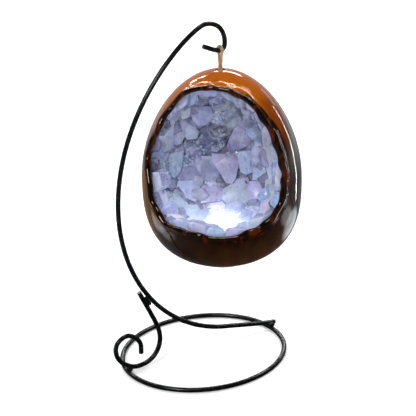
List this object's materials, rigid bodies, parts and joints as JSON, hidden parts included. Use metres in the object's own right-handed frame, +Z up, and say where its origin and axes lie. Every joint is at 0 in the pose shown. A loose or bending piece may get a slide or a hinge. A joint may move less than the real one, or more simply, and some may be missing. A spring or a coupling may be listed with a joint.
{
  "type": "hanging egg lamp",
  "caption": "Glazed ceramic egg lined with pale amethyst chips, open in front, lit from its base and hung by a twine loop from a bent black wire stand",
  "frame": {"origin": "on the surface the lamp stands on, under the middle of its whole box; the base ring stands at z = 0", "axes": "+Z up; the plane of the bent arm is XZ, the arm bulges to -X and the egg hangs towards +X; the egg's opening faces -Y, turned 37 degrees towards -X"},
  "size_m": [0.1534, 0.1192, 0.2637],
  "materials": {
    "black_enamel": "satin black baked enamel on steel wire",
    "painted_weld": "black enamel over a rough weld bead",
    "jute_twine": "dry twisted jute fibre",
    "amber_glaze": "high-gloss reactive glaze, honey amber at the crown running to chocolate brown at the base and along the lip",
    "crystal_matrix": "cast stone and resin bed between the chips, matt",
    "pale_amethyst": "milky, slightly translucent quartz with glassy broken faces",
    "clear_resin": "clear cast resin, polished",
    "frosted_lens": "frosted moulded lens",
    "white_plastic": "fine-grained moulded plastic",
    "switch_plastic": "dark moulded plastic",
    "circuit_board": "green solder mask",
    "led_white": "cool white light-emitting diode under clear resin",
    "cell_steel": "drawn nickel-plated steel can",
    "spring_brass": "stamped spring brass"
  },
  "bodies": {
    "stand": {"base_ring": "black_enamel", "stem_arm": "black_enamel", "scroll_brace": "black_enamel", "tail_weld": "painted_weld", "foot_weld": "painted_weld", "brace_weld": "painted_weld"},
    "twine": {"twine_loop": "jute_twine"},
    "knot": {"twine_knot": "jute_twine"},
    "egg": {"egg_shell": "amber_glaze", "crystal_bed": "crystal_matrix", "crystal_01": "pale_amethyst", "crystal_02": "pale_amethyst", "crystal_03": "pale_amethyst", "crystal_04": "pale_amethyst", "crystal_05": "pale_amethyst", "crystal_06": "pale_amethyst", "crystal_07": "pale_amethyst", "crystal_08": "pale_amethyst", "crystal_09": "pale_amethyst", "crystal_10": "pale_amethyst", "crystal_11": "pale_amethyst", "crystal_12": "pale_amethyst", "crystal_13": "pale_amethyst", "crystal_14": "pale_amethyst", "crystal_15": "pale_amethyst", "crystal_16": "pale_amethyst", "crystal_17": "pale_amethyst", "crystal_18": "pale_amethyst", "crystal_19": "pale_amethyst", "crystal_20": "pale_amethyst", "crystal_21": "pale_amethyst", "crystal_22": "pale_amethyst", "crystal_23": "pale_amethyst", "crystal_24": "pale_amethyst", "crystal_25": "pale_amethyst", "crystal_26": "pale_amethyst", "crystal_27": "pale_amethyst", "crystal_28": "pale_amethyst", "crystal_29": "pale_amethyst", "crystal_30": "pale_amethyst", "crystal_31": "pale_amethyst", "crystal_32": "pale_amethyst", "crystal_33": "pale_amethyst", "crystal_34": "pale_amethyst", "crystal_35": "pale_amethyst", "crystal_36": "pale_amethyst", "crystal_37": "pale_amethyst", "crystal_38": "pale_amethyst", "crystal_39": "pale_amethyst", "light_guide": "clear_resin", "diffuser_lens": "frosted_lens", "led_housing": "white_plastic", "led_board": "circuit_board", "led_emitter": "led_white", "coin_cell_1": "cell_steel", "coin_cell_2": "cell_steel", "cell_contact": "spring_brass"},
    "cover": {"battery_cover": "white_plastic"},
    "switch": {"switch_slider": "switch_plastic"}
  },
  "joints": [
    {"name": "loop_swing", "type": "hinge", "parent": "stand", "child": "twine", "pos_m": [0.01975, 0.00331, 0.2396], "axis": [1, 0, 0], "range_deg": [-30, 30]},
    {"name": "egg_rock", "type": "hinge", "parent": "twine", "child": "knot", "pos_m": [0.01975, 0.00331, 0.21658], "axis": [0, 1, 0], "range_deg": [-10, 10]},
    {"name": "egg_twist", "type": "hinge", "parent": "knot", "child": "egg", "pos_m": [0.01975, 0.00331, 0.21658], "axis": [0, 0, 1], "range_deg": [-180, 180]},
    {"name": "cover_turn", "type": "hinge", "parent": "egg", "child": "cover", "pos_m": [0.01771, 0.00059, 0.07701], "axis": [0, 0, 1], "range_deg": [-35, 0]},
    {"name": "switch_slide", "type": "slide", "parent": "egg", "child": "switch", "axis": [0.6018, 0.7986, 0], "range_m": [0, 0.003]}
  ]
}
